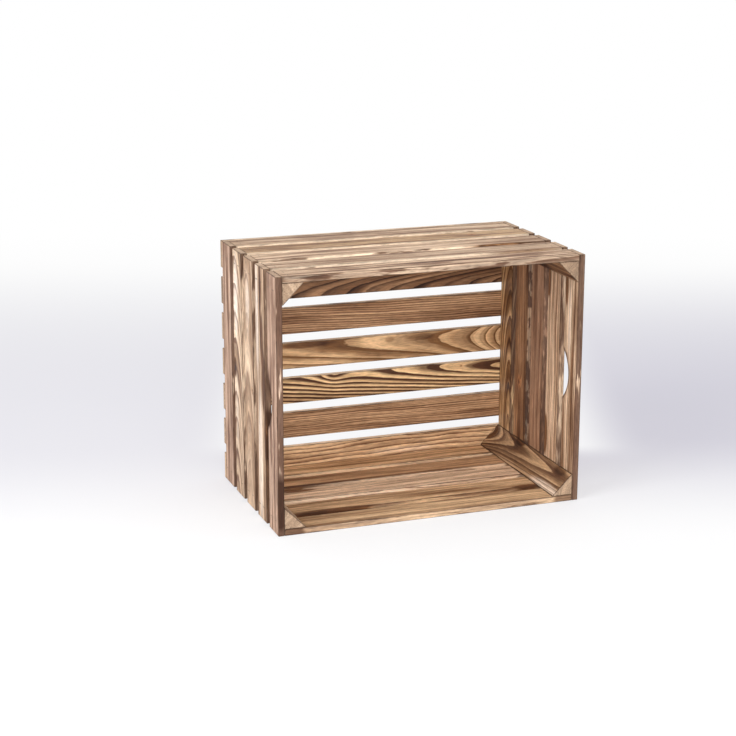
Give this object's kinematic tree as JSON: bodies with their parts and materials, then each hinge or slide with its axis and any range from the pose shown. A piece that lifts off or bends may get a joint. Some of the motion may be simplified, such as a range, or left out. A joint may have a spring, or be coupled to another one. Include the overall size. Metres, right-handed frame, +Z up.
{
  "type": "slatted wooden crate",
  "caption": "Open slatted softwood crate with scorched boards, triangular corner posts and an arched hand grip in each end, lying on one long side with its rim to the front.",
  "frame": {"origin": "centre of the lower long side, on the surface the crate lies on", "axes": "+X along the crate towards its right end, +Y from the open rim towards the slatted bottom, +Z up"},
  "size_m": [0.5, 0.3, 0.4],
  "materials": {
    "board_wood": "rough sawn softwood, scorched brown over dark latewood lines",
    "post_wood": "sawn softwood, lightly scorched",
    "staple_steel": "dull zinc-coated wire"
  },
  "bodies": {
    "root": {"slat_1": "board_wood", "slat_2": "board_wood", "slat_3": "board_wood", "slat_4": "board_wood", "slat_5": "board_wood", "slat_6": "board_wood", "slat_7": "board_wood", "left_end_board_1": "board_wood", "left_end_board_2": "board_wood", "left_end_board_3": "board_wood", "left_end_board_4": "board_wood", "left_end_board_5": "board_wood", "right_end_board_1": "board_wood", "right_end_board_2": "board_wood", "right_end_board_3": "board_wood", "right_end_board_4": "board_wood", "right_end_board_5": "board_wood", "lower_side_board_1": "board_wood", "lower_side_board_2": "board_wood", "lower_side_board_3": "board_wood", "lower_side_board_4": "board_wood", "lower_side_board_5": "board_wood", "upper_side_board_1": "board_wood", "upper_side_board_2": "board_wood", "upper_side_board_3": "board_wood", "upper_side_board_4": "board_wood", "upper_side_board_5": "board_wood", "post_lower_left": "post_wood", "post_lower_right": "post_wood", "post_upper_left": "post_wood", "post_upper_right": "post_wood", "staples_left_end": "staple_steel", "staples_right_end": "staple_steel", "staples_lower_side": "staple_steel", "staples_upper_side": "staple_steel", "staples_bottom": "staple_steel"}
  },
  "joints": []
}
